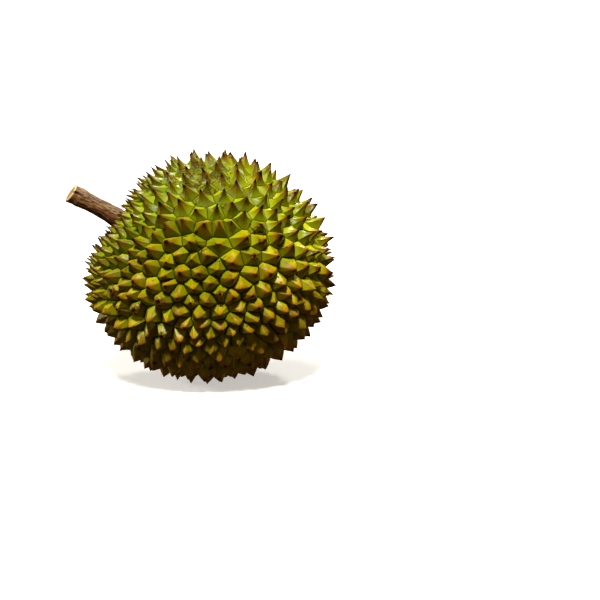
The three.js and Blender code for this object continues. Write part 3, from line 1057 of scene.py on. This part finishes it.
def bark_colour(bark, settings, grain, fibre):
    """Brown bark, rubbed pale in patches and redder near the foot, with a painted grey sheen on top
    and painted shade below.
    """
    blotch = bark.add("noise", bark.place, 1 / BARK_BLOTCH_SIZE, 4.0)
    patchy = bark.add("scaled", blotch, 6.0, -3.0)
    up = bark.add("sum", bark.add("x", grain), patchy)
    rubbed = bark.add("rise", blotch, 0.38, 0.62)
    young = bark.add("rise", bark.add("scaled", patchy, 4, bark.add("z", grain)), 26.0, 2.0)
    colour = bark.add("blend", rubbed, settings.bark, settings.pale_bark)
    layers = (
        (young, 0.8, settings.red_bark),
        # Painted light and shade: a grey sheen where the bark faces up, and darker bark where it
        # faces down.
        (bark.add("rise", up, 2.0, 7.0), 0.55, settings.painted_sheen_and_grey_fibres),
        (bark.add("rise", up, -1.0, -6.5), 0.75, settings.under),
        (bark.add("rise", fibre, 0.56, 0.4), 0.6, settings.crack),
        (bark.add("rise", fibre, 0.56, 0.66), 0.2, settings.painted_sheen_and_grey_fibres),
        (bark.marks["crack"], 0.8, settings.crack),
    )
    return bark.layered(colour, layers)


def wood_colour(bark, settings, grain):
    """Pale wood with faint rings, brown where it has dried, inside a rim of bast."""
    reach = bark.add("length", bark.add("stretched", grain, (1, 1, 0)))
    rings = bark.add("sine", bark.product(reach, RING_TURNS))
    wood = bark.add("blend", bark.add("rise", rings, -0.4, 1.4), settings.wood, settings.pale_bark)
    dried = bark.add("rise", bark.add("noise", bark.place, 1 / WOOD_BLOTCH_SIZE, 4.0), 0.5, 0.7)
    wood = bark.add("blend", dried, wood, settings.bark)
    return bark.add("blend", bark.add("rise", reach, *WOOD_END), wood, settings.rim)


def stalk_finish(settings):
    """Dry durian stalk: corky bark split lengthwise, matt, and a sawn end that shows pale wood."""
    bark = Finish("dry_durian_stalk_bark", 0.8, 1.4, ("crack", "cut"))
    grain = bark.add("mark", output="Vector", attribute_name="grain")
    along = bark.add("stretched", grain, FIBRE_STRETCH)
    fibre = bark.add("noise", along, 1 / FIBRE_WIDTH, 5.0)
    cut = bark.greatest(bark.marks["cut"], bark.add("rise", bark.add("z", grain), *BARK_END))
    colour = bark_colour(bark, settings, grain, fibre)
    bark.link(bark.add("blend", cut, colour, wood_colour(bark, settings, grain)), "Base Color")
    fine = bark.add("noise", bark.place, 1 / BARK_GRAIN_SIZE, 3.0)
    bumps = bark.add("scaled", fine, 0.4, fibre)
    bark.link(bark.add("bump", bumps, BARK_RELIEF * MM), "Normal")
    return bark.material


def add_light(name, kind, strength):
    light = bpy.data.lights.new(name, kind)
    light.energy = strength
    return scene_object(name, light)


def make_lights(settings):
    """Three suns, a lamp close above the fruit, and an even fill."""
    for name in ("key", "rear", "side"):
        sun = add_light(name, "SUN", getattr(settings, name + "_strength"))
        sun.data.angle = settings.softness
        towards = Vector(getattr(settings, name + "_from"))
        sun.rotation_euler = towards.to_track_quat("Z", "Y").to_euler()
    lamp = add_light("top", "AREA", settings.lamp_power)
    lamp.data.shape = "DISK"
    lamp.data.size = settings.lamp_size
    lamp.location = settings.lamp_place
    world = bpy.data.worlds.new("even_fill")
    world.use_nodes = True
    fill = world.node_tree.nodes["Background"].inputs
    fill["Color"].default_value = settings.sky
    fill["Strength"].default_value = settings.sky_strength
    bpy.context.scene.world = world


def make_floor(settings):
    """Matt translucent paper, lit from below as well, so that shadows on it stay pale."""
    floor = Finish("matt_translucent_paper", roughness=0.9, ior=1.45)
    drift = floor.add("noise", floor.place, 1 / PAPER_MOTTLE, 2.0)
    tint = floor.add("blend", drift, settings.floor, settings.floor_shade)
    floor.link(tint, "Base Color")
    floor.shader.inputs["Emission Color"].default_value = settings.floor
    floor.shader.inputs["Emission Strength"].default_value = settings.floor_glow
    edge = FLOOR_HALF_SIDE
    corners = [(-edge, -edge, 0), (edge, -edge, 0), (edge, edge, 0), (-edge, edge, 0)]
    return mesh_object("floor", corners, [(0, 1, 2, 3)], floor.material)


def make_backdrop(settings):
    """Matt white paper far off, which rises from the floor's edge and hides the horizon."""
    white = Finish("matt_backlit_paper", roughness=0.9, ior=1.45)
    drift = white.add("noise", white.place, 1 / PAPER_MOTTLE, 2.0)
    tint = white.add("blend", drift, settings.backdrop, settings.backdrop_shade)
    white.link(tint, "Base Color")
    white.link(tint, "Emission Color")
    white.shader.inputs["Emission Strength"].default_value = 1
    points = []
    for radius, height in BACKDROP_RINGS:
        for turn in (2 * pi * i / BACKDROP_SIDES for i in range(BACKDROP_SIDES)):
            points.append((radius * cos(turn), radius * sin(turn), height))
    lower = round_pairs(range(BACKDROP_SIDES))
    faces = [(i, k, k + BACKDROP_SIDES, i + BACKDROP_SIDES) for i, k in lower]
    wall = mesh_object("backdrop", points, faces, white.material)
    wall.visible_shadow = False
    return wall


def make_stage(settings):
    for paper in (make_floor(settings), make_backdrop(settings)):
        # It sends no light back, or it would light the fruit from below, where that is dark.
        paper.visible_diffuse = False
        paper.visible_glossy = False
    make_lights(settings)
    make_camera(settings)
    view = bpy.context.scene.view_settings
    view.view_transform = "Standard"
    view.look = "Medium High Contrast"


def make_camera(settings):
    """A camera that looks a little down on the fruit and has it left of the render's middle."""
    low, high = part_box("husk")
    middle = (low + high) / 2
    camera = bpy.data.cameras.new("camera")
    distance = settings.camera_distance
    camera.lens = camera.sensor_width * distance / (RENDER_SIDE * PIXEL * MM)
    turn = Matrix.Rotation(pi / 2 - settings.camera_pitch, 3, "X")
    across, down = (MIDDLE_AT[i] - RENDER_SIDE / 2 for i in (0, 1))
    eye = middle - turn @ Vector((across * PIXEL * MM, -down * PIXEL * MM, -distance))
    holder = scene_object("camera", camera)
    holder.matrix_world = Matrix.Translation(eye) @ turn.to_4x4()
    bpy.context.scene.camera = holder


def set_in_frame(piece, node):
    """Ties a piece to the solid that it stands for."""
    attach(piece, "root")
    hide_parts(node)


class OBJECT_OT_durian_husk(bpy.types.Operator):
    """Make the husk with all its thorns"""

    bl_idname = "object.durian_husk"
    bl_label = "Durian husk"

    def execute(self, context):
        set_in_frame(make_husk(context.scene.durian_husk), "husk")
        return {"FINISHED"}


class OBJECT_OT_durian_stalk(bpy.types.Operator):
    """Make the cut stalk on the husk"""

    bl_idname = "object.durian_stalk"
    bl_label = "Durian stalk"

    def execute(self, context):
        set_in_frame(make_stalk(context.scene.durian_stalk), "stem")
        return {"FINISHED"}


class SCENE_OT_durian_stage(bpy.types.Operator):
    """Make the floor, the lights and the camera"""

    bl_idname = "scene.durian_stage"
    bl_label = "Durian stage"

    def execute(self, context):
        make_stage(context.scene.durian_stage)
        return {"FINISHED"}


class VIEW3D_PT_durian(bpy.types.Panel):
    """The steps that make the durian, with their settings"""

    bl_label = "Durian"
    bl_space_type = "VIEW_3D"
    bl_region_type = "UI"
    bl_category = "Durian"

    def draw(self, context):
        for name, (_, operator) in STEPS.items():
            settings = getattr(context.scene, name)
            box = self.layout.box()
            box.operator(operator.bl_idname)
            for setting in settings.__annotations__:
                box.prop(settings, setting)


STEPS = {
    "durian_husk": (DurianHuskSettings, OBJECT_OT_durian_husk),
    "durian_stalk": (DurianStalkSettings, OBJECT_OT_durian_stalk),
    "durian_stage": (DurianStageSettings, SCENE_OT_durian_stage),
}


def register():
    for name, (group, operator) in STEPS.items():
        bpy.utils.register_class(group)
        bpy.utils.register_class(operator)
        setattr(bpy.types.Scene, name, bpy.props.PointerProperty(type=group))
    bpy.utils.register_class(VIEW3D_PT_durian)


def unregister():
    bpy.utils.unregister_class(VIEW3D_PT_durian)
    for name, (group, operator) in STEPS.items():
        delattr(bpy.types.Scene, name)
        bpy.utils.unregister_class(operator)
        bpy.utils.unregister_class(group)


def main():
    register()
    bpy.ops.object.durian_husk()
    bpy.ops.object.durian_stalk()
    bpy.ops.scene.durian_stage()


if __name__ == "__main__":
    main()
